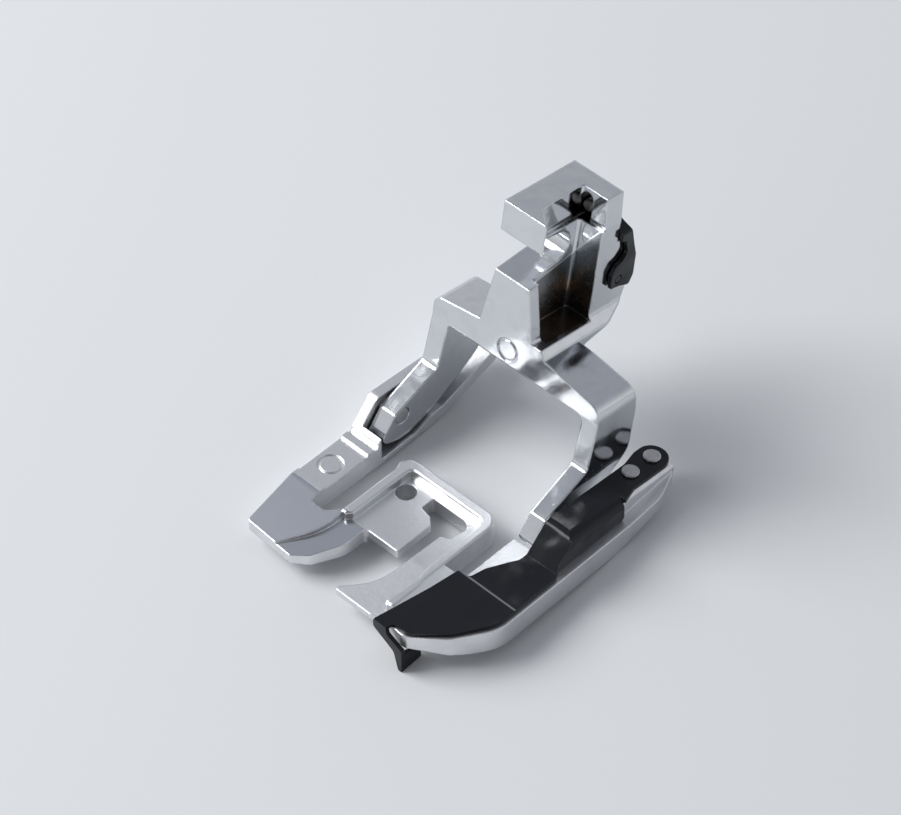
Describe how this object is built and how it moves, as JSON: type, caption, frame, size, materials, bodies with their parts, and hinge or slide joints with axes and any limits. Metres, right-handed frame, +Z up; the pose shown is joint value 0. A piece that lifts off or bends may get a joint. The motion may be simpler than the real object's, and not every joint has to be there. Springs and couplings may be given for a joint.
{
  "type": "sewing machine presser foot",
  "caption": "High-shank presser foot: chrome yoke with open bar channel and rear lever, hinged open sole with two runners and a black edge guide plate.",
  "frame": {"origin": "where the needle crosses the underside of the sole", "axes": "+X to the sewer's right, +Y to the back of the machine, +Z up out of the sole"},
  "size_m": [0.032, 0.0451, 0.0363],
  "materials": {
    "cast_satin": "satin blasted casting with bright edges",
    "chrome": "polished chrome plate",
    "black_steel": "glossy black oxide",
    "rivet_steel": "satin grey steel",
    "dark_steel": "dark oxide"
  },
  "bodies": {
    "sole_body": {"sole": "cast_satin", "guide_plate": "black_steel", "rivet_front": "rivet_steel", "rivet_rear": "rivet_steel", "pivot_pin_left": "rivet_steel", "pivot_pin_right": "rivet_steel"},
    "yoke_body": {"yoke": "chrome", "lever_pin": "black_steel"},
    "lever_body": {"release_lever": "black_steel", "lock_pin": "dark_steel"}
  },
  "joints": [
    {"name": "sole_rock", "type": "hinge", "parent": "sole_body", "child": "yoke_body", "pos_m": [0, 0.0061, 0.0045], "axis": [1, 0, 0], "range_deg": [0, 18]},
    {"name": "lever_swing", "type": "hinge", "parent": "yoke_body", "child": "lever_body", "pos_m": [0, 0.02575, 0.02109], "axis": [-1, 0, 0], "range_deg": [0, 8], "stiffness_Nm_per_rad": 0.05, "springref_deg": -11.46}
  ]
}
